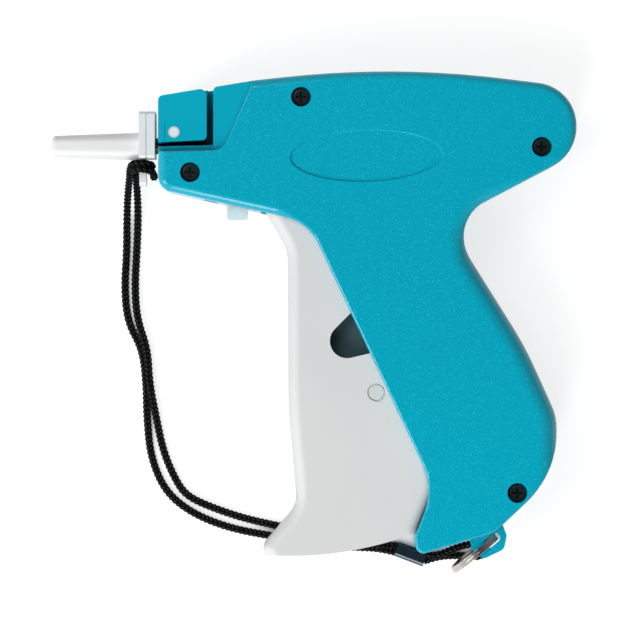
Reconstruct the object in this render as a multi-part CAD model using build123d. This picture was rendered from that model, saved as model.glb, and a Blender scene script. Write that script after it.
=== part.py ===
from build123d import *

import math
import os

# Garment tag attacher, in millimetres. It lies on its right side: +X points to the rear, +Y to
# the top of the gun and +Z out of its left side. The origin is on the swing lever's axis, on
# the right shell's outer face.

# ------------------------------------------------------------------ housing
body_thickness = 26.4
wall = 2.2
edge_round = 0.8
head_round = 2.4
grip_round = 5.2
head_front = -65.3
head_bottom = 34.6
head_top_front = 61.6
brow_x = -37.4
brow_y = 66.2
crown_x = 3.8
crown_y = 70.6
tail_rear = 56.3
tail_top = 64.1
tail_bottom = 44.8
throat_x = 18.7
throat_y = 25.2
grip_bend_x = 41.4
grip_bend_y = -11.0
grip_rear = 50.7
grip_belly_top = -31.5
grip_belly_bottom = -48.0
heel_x = 32.4
heel_y = -65.2
hook_x = 9.8
hook_y = -71.9
hook_lip_x = 9.3
hook_lip_y = -66.3
grip_front_low_x = 14.8
grip_front_low_y = -52.4
grip_front_high_x = -21.8
grip_front_high_y = 25.0

ledge_y = 45.25
ledge_rise = 0.65
cut_corner_x = -46.4
cut_corner_round = 4.8
cut_edge_round = 0.5
cover_gap = 0.15
cut_edge_bevel = 0.35
front_block_drop = 1.1
front_block_rear = -37.5
front_block_heel = 1.3
front_block_shoulder = 2.0
rear_block_round = 1.3
nose_step = 3.7
slit_rise_low = 0.4
slit_rise_high = 0.8
ledge_joint = 0.25
lock_plate_front = 2.8
lock_plate_rear = 4.0
lock_plate_top = 2.5
lock_plate_depth = 0.2
mouth_rear = 18.5

badge_x = -4.8
badge_y = 44.2
badge_length = 43.8
badge_height = 14.6
badge_tilt = 1.5
badge_depth = 0.5
badge_bevel = 0.35

# ------------------------------------------------------------------ shell screws
screw_places = [(-23.8, 61.3), (-56.0, 39.4), (46.1, 46.8), (39.0, -53.7)]
screw_shank = 1.3
screw_head = 2.55
screw_head_height = 1.7
screw_head_round = 0.6
screw_hole_play = 0.2
screw_sink = 1.4
screw_length = 17.0
screw_boss = 4.2
screw_recess = 2.9
front_boss = 2.0
cross_length = 3.0
cross_width = 0.65
cross_depth = 1.0

# ------------------------------------------------------------------ clearances
fit_clearance = 0.02
pin_clearance = 0.05
peg_touch = 0.1
running_gap = 0.3
rib_gap = 0.4
side_gap = 0.8
bond = 0.5
past = 1.0
far = 200.0

# ------------------------------------------------------------------ trigger
trigger_pivot_x = -27.0
trigger_pivot_y = 31.3
trigger_travel = 16.5
trigger_foot_radius = 103.4
trigger_wall = 2.4
cheek = 2.0
cheek_boss = 2.2
front_wall_reach = 2.0
trigger_round = 3.4
sleeve_radius = 2.8
pivot_pin = 1.6
spring_radius = 3.65
spring_wire = 0.45
spring_pitch = 2.15
spring_drop = 5.6
spring_start = -3.5
spring_leg = 17.5
spring_peg_x = -3.0
spring_peg = 1.0
drive_pin_x = -1.75
drive_pin_y = -24.5
drive_pin = 2.3
drive_pin_recess = 0.45
drive_pin_inset = 0.1
pin_chamfer = 0.2
drive_pin_chamfer = 0.3

# ------------------------------------------------------------------ swing lever
lever_lean = 26.0
lever_width = 6.6
lever_ratio = 2 * lever_lean / trigger_travel
lever_hub = 6.2
lever_eye = 4.0
lever_pin = 2.0
lever_boss = 2.7
post_gap = 0.2
lever_waist = 5.0
cam_clearance = 0.35
cam_wall = 2.6
lever_web = 2.0
lever_web_low = 11.0
lever_web_high = 41.0
lever_web_foot = 2.6
lever_web_head = 1.6
lever_tail = (-10.4, -9.2, 5.2)
lever_tail_end = (-5.0, -20.0, 4.0)

# ------------------------------------------------------------------ slider and push rod
needle_axis = 47.5
slider_half = 6.5
slider_rim = 2.2
slider_cheek = 2.2
slider_round = 1.5
slider_bridge = 4.0
slider_bridge_tall = 7.0
slider_lug_tall = 4.0
slider_lug_deep = 3.4
slot_play = 0.5
rail_front = -31.0
rail_rear = 34.0
rail_thick = 1.6
rod_radius = 0.5
bumper_length = 3.4
bumper_gap = 0.3
bumper_round = 0.8

# ------------------------------------------------------------------ clip slot, feed and cutter
clip_slot_rear = -49.3
clip_slot_width = 1.9
clip_slot_floor = 8.2
slot_bridge = 1.4
slit_width = 1.1
slot_flare = 0.95
slot_flare_deep = 1.0
feed_x = -43.6
feed_y = 38.8
feed_tip = 6.0
feed_root = 4.3
feed_teeth = 8
feed_bottom = 10.2
feed_width = 4.0
feed_axle_radius = 1.5
feed_axle_low = 6.0
feed_gap_share = 0.62
index_arm_hub = 1.4
index_arm_thick = 1.6
index_peg = 0.7
index_peg_gap = 0.25
index_peg_floor = 0.4
blade_fit = 0.06
blade_thick = 0.5
blade_gap = 0.7
blade_bottom = 10.0
blade_heel = 14.5
blade_back = 5.2
blade_edge = 0.9
blade_lean = 0.3
blade_cover = 1.0

# ------------------------------------------------------------------ clip release lever
release_x = -36.2
release_y = 41.4
release_bottom = 16.4
release_width = 3.2
release_hub = 2.3
release_post = 1.1
release_elbow = 0.9
release_elbow_round = 1.5
release_peg = 0.5
release_peg_x = -0.7
release_peg_y = -3.8
release_peg_floor = 0.6
release_head_room = 1.1
tab_round = 0.5
tab_front = -45.4
tab_rear = -39.3
tab_end = 25.7
tab_root = 35.2

# ------------------------------------------------------------------ needle, lock and cap
needle_tip = -93.5
needle_outer = 0.95
needle_bore = 0.58
needle_room = 0.25
needle_slit = 0.5
hub_radius = 2.4
hub_reach = 3.6
hub_end_gap = 1.45
hub_chamfer = 0.5
needle_bevel = 25.0
lock_x = -60.7
lock_y = 51.1
lock_radius = 1.7
lock_notch_gap = 0.1
lock_arm = 9.0
lock_arm_thick = 1.5
lock_arm_sink = 0.2
lock_arm_taper = 0.3
cap_tip = -96.9
cap_flange_front = -71.1
cap_split = -69.0
cap_flange_rear = -66.5
cap_flange_top = 57.4
cap_flange_bottom = 43.7
cap_tab_bottom = 35.8
cap_tab_half = 4.0
cap_flange_half = 7.0
cap_nose_tall = 8.1
cap_nose_deep = 9.0
cap_nose_round = 3.2
cap_tip_tall = 6.2
cap_tip_deep = 6.4
cap_tip_round = 2.4
cap_tip_edge = 1.4
cap_nose_drop = 0.1
cap_groove = 0.15
cap_groove_deep = 0.4
cap_flange_round = 1.0
cap_tab_round = 1.2
cap_tab_top = 3.0
cap_bore = 1.7
cap_end_wall = 1.2

# ------------------------------------------------------------------ lug, ring and cord
ring_x = 28.0
ring_y = -71.0
ring_z = 12.8
ring_radius = 9.6
ring_wire = 0.8
ring_width = 2.0
ring_split = 0.04
ring_core_step = 0.3
ring_edge = 0.15
ring_heading = 39.4
lug_bottom = 19.5
lug_thick = 1.5
lug_eye_offset = 5.05
lug_eye_length = 5.2
lug_eye_width = 2.9
cord_radius = 1.15
cord_rest = 1.2
cord_bend_share = 0.45
hitch_y = 41.9
hitch_gap = 0.15
hitch_round = 1.7
hitch_stub = 2.2
hitch_stub_gap = 0.12
hitch_tail = (-67.3, 39.3, 10.6)
hitch_tail_length = 2.6
ferrule_x = 4.47
ferrule_y = -71.3
ferrule_length = 9.0
ferrule_wide = 4.5
ferrule_tall = 2.8
ferrule_round = 1.2
ferrule_heading = -20.9

# ------------------------------------------------------------------ derived sizes
parting = body_thickness / 2
lever_arm = 2 * needle_axis / (1 + math.cos(math.radians(lever_lean)))
left_inside = body_thickness - wall
clip_slot_front = clip_slot_rear - clip_slot_width
trigger_low = wall + side_gap
trigger_high = left_inside - side_gap
spring_low = trigger_high - cheek - spring_drop
lever_low = parting - lever_width / 2
lever_high = parting + lever_width / 2
seat_depth = wall / 2
slider_pin_x = lever_arm * math.sin(math.radians(lever_lean))
slider_pin_low = lever_arm * math.cos(math.radians(lever_lean))
slot_low = slider_pin_low - lever_pin - rib_gap
slot_high = lever_arm + lever_pin + rib_gap
slot_middle = (slot_low + slot_high) / 2
slider_tall = slot_high - slot_low + 2 * slider_rim
slider_low = lever_low - running_gap - slider_cheek
slider_high = lever_high + running_gap + slider_cheek
hub_rear = clip_slot_front - hub_end_gap
screw_seat = body_thickness - screw_sink - screw_head_height
release_high = release_bottom + release_width
block_top = left_inside - cover_gap
slit_low = needle_axis - slit_width / 2
slit_high = needle_axis + slit_width / 2
front_block_top = body_thickness - front_block_drop
nose_floor = front_block_top - nose_step
slot_roof = nose_floor - slot_bridge

trigger_foot_y = trigger_pivot_y - trigger_foot_radius
spring_room = spring_radius + spring_wire + running_gap
spring_peg_y = trigger_pivot_y - spring_radius + spring_wire + spring_peg + peg_touch

trigger_pivot = Vector(trigger_pivot_x, trigger_pivot_y)
drive_pin_place = Vector(drive_pin_x, drive_pin_y)

body_corners = [
    (head_front, head_bottom, 4.5),
    (head_front, head_top_front, 1.5),
    (brow_x, brow_y, 60.0),
    (crown_x, crown_y, 275.0),
    (tail_rear, tail_top, 12.5),
    (tail_rear, tail_bottom, 13.4),
    (throat_x, throat_y, 11.4),
    (grip_bend_x, grip_bend_y, 100.0),
    (grip_rear, grip_belly_top, 16.0),
    (grip_rear, grip_belly_bottom, 29.5),
    (heel_x, heel_y, 10.0),
    (hook_x, hook_y, 2.2),
    (hook_lip_x, hook_lip_y, 0.9),
    (grip_front_low_x, grip_front_low_y, 18.0),
    (grip_front_high_x, grip_front_high_y, 14.0),
]
head_crown_corners = [
    *body_corners[:6],
    (38.7, 33.2, 8.0),
    (far / 2, -far / 2, 20.0),
    (-far / 5, -far / 2, 20.0),
    (-24.4, 25.6, 8.0),
]
grip_crown_corners = [
    (-far / 2, -far / 2, 20.0),
    (-far / 2, far / 2, 20.0),
    (far / 2, far / 2, 20.0),
    (far / 2, 55.2, 20.0),
    *body_corners[6:10],
    (34.7, -far / 2, 20.0),
]
mouth_corners = [
    (-35.6, 20.0, 0.5),
    (-35.6, 34.0, 0.5),
    (-19.0, 31.5, 6.0),
    (-14.0, 20.0, 6.0),
    (mouth_rear, -50.5, 9.0),
    (mouth_rear - 0.5, -75.0, 0.5),
    (-8.0, -75.0, 0.5),
    (-8.0, -40.0, 8.0),
]
trigger_corners = [
    (-34.9, 29.3, 1.5),
    (-27.6, 16.6, 14.0),
    (-27.5, -29.0, 120.0),
    (-24.9, trigger_foot_y + 14.6, 9.0),
    (-35.2, trigger_foot_y + 2.5, 2.0),
    (-33.2, trigger_foot_y - 1.4, 1.5),
    (-28.0, trigger_foot_y - 9.9, 1.0),
    (11.6, trigger_foot_y - 1.9, 1.0),
    (10.6, trigger_foot_y + 8.3, 3.0),
    (15.8, trigger_foot_y + 20.1, 9.0),
    (9.5, -14.0, 6.0),
    (6.8, 4.0, 4.0),
    (-16.5, 34.2, 5.0),
    (-31.5, 38.3, 4.0),
]
cheek_window_circles = [(-10.4, -9.6, 5.0), (0.0, 0.0, 5.6), (0.8, -8.4, 3.6)]
lug_corners = [
    (24.6, -64.5, 1.0),
    (26.1, -70.6, 1.2),
    (29.3, -73.2, 1.6),
    (35.4, -70.3, 2.4),
    (36.2, -66.3, 1.6),
    (34.2, -61.0, 1.0),
]


# ------------------------------------------------------------------ shared operations
def rounded_outline(corners):
    """A closed face whose corners (x, y, radius) are joined by lines and tangent arcs."""
    points = [Vector(x, y) for x, y, _ in corners]
    spans = []
    for i, (_, _, radius) in enumerate(corners):
        corner = points[i]
        back = (points[i - 1] - corner).normalized()
        ahead = (points[(i + 1) % len(points)] - corner).normalized()
        half_angle = math.radians(back.get_angle(ahead)) / 2
        reach = radius / math.tan(half_angle)
        depth = radius / math.sin(half_angle) - radius
        middle = corner + (back + ahead).normalized() * depth
        spans.append((corner + back * reach, middle, corner + ahead * reach))
    edges = []
    for i, (start, middle, end) in enumerate(spans):
        edges.append(Line(spans[i - 1][2], start))
        edges.append(ThreePointArc(start, middle, end))
    return make_face(edges)


def prism(face, low, high):
    """The face, drawn on XY, raised from z = low to z = high."""
    return extrude(Pos(0, 0, low) * face, high - low)


def disc(x, y, radius, low, high):
    """A round bar along Z."""
    return Pos(x, y, (low + high) / 2) * Cylinder(radius, high - low)


def block(x_low, x_high, y_low, y_high, z_low, z_high):
    """A box between two corners."""
    size = (x_high - x_low, y_high - y_low, z_high - z_low)
    middle = Pos((x_low + x_high) / 2, (y_low + y_high) / 2, (z_low + z_high) / 2)
    return middle * Box(*size)


def bar_x(x_low, x_high, y, z, radius):
    """A round bar along X."""
    return Pos((x_low + x_high) / 2, y, z) * Rot(0, 90, 0) * Cylinder(radius, x_high - x_low)


def ahead_of(x):
    """The half plane in front of x."""
    return Pos(x - far / 2, 0) * Rectangle(far, far)


def behind(x):
    """The half plane behind x."""
    return Pos(x + far / 2, 0) * Rectangle(far, far)


def link(circles):
    """The outline stretched round the circles (x, y, radius)."""
    rims = [edge for x, y, radius in circles for edge in (Pos(x, y) * Circle(radius)).edges()]
    return make_hull(rims)


def turned(point, angle, centre=Vector(0, 0)):
    """The point turned about the centre by an angle in degrees, anticlockwise from +Z."""
    arm = point - centre
    cos, sin = math.cos(math.radians(angle)), math.sin(math.radians(angle))
    return centre + Vector(arm.X * cos - arm.Y * sin, arm.X * sin + arm.Y * cos)


def save(shape, name):
    """Write one sub-part."""
    shape.label = name
    export_step(shape, f"parts/{name}.step")


def torsion_spring(x, y, low, radius, wire, start, turns, first_leg, last_leg):
    """A coil about Z from the angle start, whose wire runs on straight at both ends."""
    pitch = spring_pitch * wire
    coil = Helix(pitch, pitch * turns, radius)
    first = Line((coil @ 0) - (coil % 0) * first_leg, coil @ 0)
    last = Line(coil @ 1, (coil @ 1) + (coil % 1) * last_leg)
    profile = Plane(first @ 0, z_dir=first % 0) * Circle(wire)
    spring = sweep(profile, path=Wire([*first.edges(), *coil.edges(), *last.edges()]))
    return Pos(x, y, low) * Rot(0, 0, start) * spring


# ------------------------------------------------------------------ plan shapes
body_face = rounded_outline(body_corners)
cavity_face = offset(body_face, amount=-wall)


def crown(corners, low, high, top_radius):
    """A thick plate just outside the given outline, with its upper edge rounded."""
    outline = offset(rounded_outline(corners), amount=fit_clearance)
    plate = prism(outline, low, high)
    return fillet(plate.faces().sort_by(Axis.Z)[-1].edges(), top_radius)


def half_form():
    """The outer form above the parting plane: sharp front edges, a rounder head and grip."""
    form = prism(body_face, parting, body_thickness)
    form = fillet(form.faces().sort_by(Axis.Z)[-1].edges(), edge_round)
    form &= crown(head_crown_corners, parting - past, body_thickness, head_round)
    return form & crown(grip_crown_corners, parting - past, body_thickness, grip_round)


def cut_line_corners(gap):
    """The region in front of the left shell's slanted edge, drawn back from it by a gap."""
    far_left = head_front - 10
    far_top = crown_y + 10
    slope_x = brow_x + (far_top - brow_y) * (brow_x - cut_corner_x) / (brow_y - ledge_y)
    return [
        (far_left, ledge_y + gap, cut_edge_round),
        (cut_corner_x - gap, ledge_y + ledge_rise + gap, cut_corner_round - gap),
        (slope_x - gap, far_top, cut_edge_round),
        (far_left, far_top, cut_edge_round),
    ]


trigger_face = rounded_outline(trigger_corners) & Pos(trigger_pivot) * Circle(trigger_foot_radius)


# ------------------------------------------------------------------ housing pieces
def trigger_mouth():
    """The open front of the grip, between the shells' side plates, down to the foot's path."""
    path = Pos(trigger_pivot) * Circle(trigger_foot_radius + 2 * running_gap)
    return prism(rounded_outline(mouth_corners) & path, wall, left_inside)


def rails(low, high):
    """Two ribs that guide the slider's lug."""
    reach = slider_lug_tall / 2 + running_gap
    ribs = block(rail_front, rail_rear, needle_axis + reach,
                 needle_axis + reach + rail_thick, low, high)
    return ribs + block(rail_front, rail_rear, needle_axis - reach - rail_thick,
                        needle_axis - reach, low, high)


def bumper_pocket(low, high):
    """Ribs behind the slider that hold its bumper."""
    front = slider_pin_x + slider_half + bumper_gap
    rear = front + bumper_length
    tall = slider_tall / 2
    return block(rear, rear + rail_thick, needle_axis - tall, needle_axis + tall, low, high)


def ring_frame():
    """The plane of the lanyard ring, standing on edge, with its axis as the plane's Z."""
    heading = math.radians(ring_heading)
    along = (math.cos(heading), math.sin(heading), 0)
    across = (math.sin(heading), -math.cos(heading), 0)
    return Plane((ring_x, ring_y, ring_z), x_dir=along, z_dir=across)


def lug():
    """The lanyard lug on the left shell's heel, with an oblong eye in line with the ring."""
    heading = math.radians(ring_heading)
    eye_x = ring_x + lug_eye_offset * math.cos(heading)
    eye_y = ring_y + lug_eye_offset * math.sin(heading)
    eye = Pos(eye_x, eye_y) * Rot(0, 0, ring_heading) * SlotOverall(lug_eye_length, lug_eye_width)
    return prism(rounded_outline(lug_corners) - eye, lug_bottom, lug_bottom + lug_thick)


def release_slot():
    """The way out of the head's floor for the release tab, over its swing."""
    return block(tab_front - bond, release_x - rib_gap, tab_end - 5, tab_root + rib_gap,
                 release_bottom - running_gap, release_high + running_gap)


def clip_slot():
    """The straight channel that a strip of tag pins passes down, flared where it comes out."""
    slot = block(clip_slot_front, clip_slot_rear, -far, needle_axis, clip_slot_floor, slot_roof)
    entry = block(clip_slot_front, clip_slot_rear, needle_axis, far, clip_slot_floor,
                  front_block_top + past)
    flare = block(clip_slot_front - slot_flare, clip_slot_rear + slot_flare, -far, needle_axis,
                  clip_slot_floor, slot_roof)
    flare -= prism(offset(body_face, amount=-slot_flare_deep), 0, body_thickness)
    return slot + entry + flare


def head_top(x):
    """A height just over the head's sloping top edge at x."""
    slope = (brow_y - head_top_front) / (brow_x - head_front)
    return head_top_front + slope * (x - head_front) + pin_clearance


def nose_blocks(open_region):
    """The raised block in front of the clip slot, the low block behind it and the low ledge."""
    start, end = head_front - 2 * past, clip_slot_front
    front = [
        (start, slit_high, bond),
        (end, slit_high + slit_rise_high, front_block_heel),
        (end, head_top(end), front_block_shoulder),
        (start, head_top(start), bond),
    ]
    end = clip_slot_rear
    slit_end = slit_low + slit_rise_low
    rear = [
        (end, slit_end, bond),
        (end, head_top(end), rear_block_round),
        (front_block_rear, head_top(front_block_rear), bond),
        (front_block_rear, slit_end, bond),
    ]
    ledge = [
        (start, slit_low, bond),
        (end + bond, slit_end, bond),
        (front_block_rear, slit_end + 2 * bond, bond),
        (front_block_rear, head_bottom, bond),
        (start, head_bottom, bond),
    ]
    return [open_region & rounded_outline(corners) for corners in (front, rear, ledge)]


def hub_bore():
    """The bore that the needle's base slides into."""
    return bar_x(head_front - past, hub_rear + 0.1, needle_axis, parting,
                 hub_radius + pin_clearance)


def left_shell():
    """The left half: side plate, walls, screw bosses, slider rails, lever boss and lug."""
    roof = left_inside + bond
    form = half_form()
    shell = form - prism(cavity_face, parting - past, left_inside)
    shell -= trigger_mouth()
    shell -= prism(rounded_outline(cut_line_corners(0)), parting - past, body_thickness + past)
    flare_low = Pos(0, 0, body_thickness - cut_edge_bevel)
    shell -= extrude(flare_low * rounded_outline(cut_line_corners(0)), cut_edge_bevel, taper=-45)
    for x, y in screw_places:
        low = parting if x > front_block_rear else block_top - front_boss
        shell += disc(x, y, screw_boss, low, roof) & form
        shell -= disc(x, y, screw_shank + screw_hole_play, low - past, body_thickness + past)
        shell -= disc(x, y, screw_recess, screw_seat, body_thickness + past)
    shell += lug()
    shell += rails(slider_high + rib_gap, roof)
    shell += bumper_pocket(parting + running_gap, roof)
    shell += disc(0, 0, lever_boss, lever_high + post_gap, roof)
    shell += disc(release_x, release_y, release_hub - running_gap, release_high + post_gap, roof)
    shell += disc(release_x, release_y, release_post, release_bottom - 2 * running_gap, roof)
    shell += disc(spring_peg_x, spring_peg_y, spring_peg, lever_high + 2 * running_gap, roof)
    for x, y, radius in ((0, 0, pivot_pin), (trigger_pivot_x, trigger_pivot_y, pivot_pin)):
        shell -= disc(x, y, radius + pin_clearance, parting, left_inside + seat_depth)
    shell -= release_slot()
    shell -= clip_slot()
    shell -= hub_bore()
    return shell - badge_recess()


def badge_recess():
    """A shallow oval with a bevelled rim."""
    place = Pos(badge_x, badge_y) * Rot(0, 0, badge_tilt)
    floor = place * Ellipse(badge_length / 2, badge_height / 2)
    oval = prism(floor, body_thickness - badge_depth, body_thickness + past)
    wide, tall = badge_length / 2 + badge_bevel, badge_height / 2 + badge_bevel
    rim = loft([Pos(0, 0, body_thickness - badge_depth) * floor,
                Pos(0, 0, body_thickness) * place * Ellipse(wide, tall)])
    return oval + rim


def right_shell():
    """The right half, with the solid nose block that guides clips, needle and feed."""
    form = mirror(half_form(), Plane.XY.offset(parting))
    shell = form - prism(cavity_face & behind(front_block_rear), wall, parting + past)
    shell -= trigger_mouth()

    nose = ahead_of(front_block_rear)
    under_cover = offset(body_face, amount=-wall - cover_gap) & nose
    shell += prism(under_cover, parting - past, block_top)
    open_region = body_face & nose & rounded_outline(cut_line_corners(cover_gap))
    front, rear, ledge = nose_blocks(open_region)
    shell += prism(front, parting - past, front_block_top)
    shell += prism(rear, parting - past, nose_floor)
    shell += prism(ledge, parting - past, nose_floor)

    for x, y in screw_places:
        top = parting if x > front_block_rear else block_top - front_boss - cover_gap
        shell += disc(x, y, screw_boss - 2 * running_gap, wall - bond, top) & prism(
            body_face, 0, body_thickness)
        if x < front_block_rear:
            shell -= disc(x, y, screw_boss + cover_gap, top, block_top + past)
        shell -= disc(x, y, screw_shank + pin_clearance, screw_seat - screw_length - past,
                      body_thickness)
    shell += rails(wall - bond, slider_low - rib_gap)
    shell += bumper_pocket(wall - bond, parting - running_gap)
    shell += disc(0, 0, lever_boss, wall - bond, lever_low - post_gap)
    for x, y, radius in ((0, 0, pivot_pin), (trigger_pivot_x, trigger_pivot_y, pivot_pin)):
        shell -= disc(x, y, radius + pin_clearance, wall - seat_depth, parting)

    shell -= clip_slot()
    slit = open_region & ahead_of(clip_slot_rear)
    shell -= prism(slit - front - rear - ledge, parting, front_block_top + past)
    shell -= block(clip_slot_front - ledge_joint, clip_slot_front, ledge_y, needle_axis,
                   nose_floor - ledge_joint, front_block_top)
    shell -= block(lock_x - lock_plate_front, lock_x + lock_plate_rear, -far,
                   lock_y + lock_plate_top, front_block_top - lock_plate_depth,
                   front_block_top + past)
    shell -= hub_bore()
    shell -= bar_x(hub_rear - past, clip_slot_rear, needle_axis, parting,
                   needle_outer + needle_room)
    shell -= bar_x(clip_slot_rear - past, front_block_rear + past, needle_axis, parting,
                   rod_radius + running_gap)
    shell -= lock_cut()
    shell -= blade_shape(blade_fit)
    shell -= disc(feed_x, feed_y, feed_tip + bond, feed_bottom - running_gap,
                  front_block_top + past)
    shell -= disc(feed_x, feed_y, feed_axle_radius + pin_clearance, feed_axle_low, feed_bottom)
    shell -= release_room()
    return shell


def release_room():
    """The space in the nose block behind and below the feed wheel for the release lever."""
    low = feed_bottom - running_gap
    top = front_block_top + past
    hub_side = block(release_x - release_hub - rib_gap, front_block_rear + past, -far,
                     release_y + release_hub + release_head_room, low, top)
    foot_side = block(tab_front - 2 * running_gap, release_x - release_post, -far,
                      tab_root + past, release_bottom - rib_gap, top)
    return (hub_side + foot_side) & prism(offset(body_face, amount=-side_gap), 0,
                                          block_top + past)


# ------------------------------------------------------------------ fasteners and pins
def shell_screws():
    """Four self-tapping screws with cross recesses."""
    top = screw_seat + screw_head_height
    screws = []
    for x, y in screw_places:
        head = disc(x, y, screw_head, screw_seat, top)
        head = fillet(head.edges().group_by(Axis.Z)[-1], screw_head_round)
        screw = head + disc(x, y, screw_shank, screw_seat - screw_length, screw_seat + bond)
        for length, width in ((cross_length, cross_width), (cross_width, cross_length)):
            screw -= block(x - length / 2, x + length / 2, y - width / 2, y + width / 2,
                           top - cross_depth, top + past)
        screws.append(screw)
    return Compound(children=screws)


def through_pin(x, y, radius):
    """A steel pin held in blind seats in both shells."""
    reach = seat_depth - pin_clearance
    pin = disc(x, y, radius, wall - reach, left_inside + reach)
    return chamfer(pin.edges(), pin_chamfer)


# ------------------------------------------------------------------ trigger
def trigger():
    """The hollow trigger: a front wall, two cheeks and a foot, with a sleeve for its pin."""
    body = prism(trigger_face, trigger_low, trigger_high)
    front_middle = Vector(*trigger_corners[2][:2])
    for z in (trigger_low, trigger_high):
        start = Vector(front_middle.X, front_middle.Y, z)
        edge = body.edges().sort_by_distance(start)[0]
        body = fillet(edge, trigger_round)
    foot = Pos(trigger_pivot) * Circle(trigger_foot_radius - trigger_wall)
    channel = offset(trigger_face, amount=-trigger_wall)
    channel += behind(trigger_pivot_x + front_wall_reach) & foot
    channel += Pos(trigger_pivot) * Circle(spring_room)
    body -= prism(channel, trigger_low + cheek, trigger_high - cheek)
    body -= prism(link(cheek_window_circles), trigger_low - past, trigger_high + past)
    body += disc(trigger_pivot_x, trigger_pivot_y, sleeve_radius, trigger_low, trigger_high)
    body -= disc(trigger_pivot_x, trigger_pivot_y, pivot_pin + pin_clearance, 0, body_thickness)
    for low, high in ((trigger_low, trigger_low + cheek), (trigger_high - cheek, trigger_high)):
        body += disc(drive_pin_x, drive_pin_y, drive_pin + cheek_boss, low, high)
    body -= disc(drive_pin_x, drive_pin_y, drive_pin + pin_clearance, 0, body_thickness)
    recess = drive_pin + drive_pin_recess
    body -= disc(drive_pin_x, drive_pin_y, recess, trigger_high - bond, body_thickness)
    body -= disc(drive_pin_x, drive_pin_y, recess, 0, trigger_low + bond)
    return body


def trigger_drive_pin():
    """The round pin across the trigger that moves the lever's cam track."""
    pin = disc(drive_pin_x, drive_pin_y, drive_pin, trigger_low + drive_pin_inset,
               trigger_high - drive_pin_inset)
    return chamfer(pin.edges(), drive_pin_chamfer)


def trigger_spring():
    """The return spring round the trigger's sleeve, from its front wall to the shell's peg."""
    full_turns = 3
    end_angle = 270.0
    turns = full_turns + (end_angle - spring_start) / 360
    reach = spring_peg_x - trigger_pivot_x + spring_peg
    return torsion_spring(trigger_pivot_x, trigger_pivot_y, spring_low, spring_radius,
                          spring_wire, spring_start, turns, spring_leg, reach)


# ------------------------------------------------------------------ swing lever
def lever_point(distance):
    """A point up the lever's long arm at rest."""
    lean = math.radians(lever_lean)
    return Vector(distance * math.sin(lean), distance * math.cos(lean))


def cam_track():
    """The drive pin's path as the lever sees it, from rest to the full squeeze."""
    steps = 4
    track = []
    for i in range(steps + 1):
        squeeze = trigger_travel * i / steps
        pin = turned(drive_pin_place, squeeze, trigger_pivot)
        track.append(turned(pin, -lever_ratio * squeeze))
    return track


def swing_lever():
    """A two-armed lever: a cam track below its pivot and an eye for the slider's pin above."""
    eye = lever_point(lever_arm)
    plan = link([(0, 0, lever_waist), (eye.X, eye.Y, lever_eye)]) + Circle(lever_hub)
    track = cam_track()
    half_track = drive_pin + cam_clearance
    foot = [(point.X, point.Y, half_track + cam_wall) for point in (track[0], track[-1])]
    plan += link([(0, 0, lever_hub)] + foot)
    plan += link([(0, 0, lever_waist), lever_tail, lever_tail_end])
    slot = trace(Spline(*track), 2 * half_track)
    slot += Pos(track[0]) * Circle(half_track) + Pos(track[-1]) * Circle(half_track)
    lever = prism(plan - slot, lever_low, lever_high)
    foot, head = lever_point(lever_web_low), lever_point(lever_web_high)
    web = link([(foot.X, foot.Y, lever_web_foot), (head.X, head.Y, lever_web_head)])
    lever -= prism(web, lever_low - past, lever_low + lever_web)
    lever -= prism(web, lever_high - lever_web, lever_high + past)
    lever -= disc(0, 0, pivot_pin + pin_clearance, 0, body_thickness)
    lever -= disc(eye.X, eye.Y, lever_pin + fit_clearance, 0, body_thickness)
    return lever


def lever_slider_pin():
    """The cross pin in the lever's eye that drives the slider."""
    eye = lever_point(lever_arm)
    return disc(eye.X, eye.Y, lever_pin, slider_low + running_gap, slider_high - running_gap)


# ------------------------------------------------------------------ slider
def slider():
    """The carriage: two slotted cheeks, a front bridge for the rod and a guide lug each side."""
    front, rear = slider_pin_x - slider_half, slider_pin_x + slider_half
    slot_front = slider_pin_x - lever_pin - slot_play
    slot_rear = slider_pin_x + lever_pin + slot_play
    low, high = slot_middle - slider_tall / 2, slot_middle + slider_tall / 2
    body = block(front, rear, low, high, slider_low, slider_high)
    body = fillet(body.edges().filter_by(Axis.Z), slider_round)
    body -= block(front - past, rear + past, -far, far, lever_low - running_gap,
                  lever_high + running_gap)
    body += block(front - slider_bridge, front + past, needle_axis - slider_bridge_tall / 2,
                  needle_axis + slider_bridge_tall / 2, slider_low, slider_high)
    body -= block(slot_front, slot_rear, slot_low, slot_high, 0, body_thickness)
    for z_low, z_high in ((slider_low - slider_lug_deep, slider_low),
                          (slider_high, slider_high + slider_lug_deep)):
        lug_bar = block(front, rear, needle_axis - slider_lug_tall / 2,
                        needle_axis + slider_lug_tall / 2, z_low, z_high)
        body += lug_bar - block(slot_front, slot_rear, slot_low, slot_high, 0, body_thickness)
    return body - bar_x(front - slider_bridge - past, front + bond, needle_axis, parting,
                        rod_radius + fit_clearance)


def push_rod():
    """The steel rod that pushes a tag pin out through the needle."""
    rear = slider_pin_x - slider_half
    return bar_x(clip_slot_rear + 2 * running_gap, rear, needle_axis, parting, rod_radius)


def slider_bumper():
    """A rubber block that stops the slider at rest."""
    front = slider_pin_x + slider_half + bumper_gap
    tall = slider_tall / 2 - past
    bumper = block(front, front + bumper_length - pin_clearance, needle_axis - tall,
                   needle_axis + tall, slider_low, slider_high)
    return fillet(bumper.edges().filter_by(Axis.Z), bumper_round)


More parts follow.
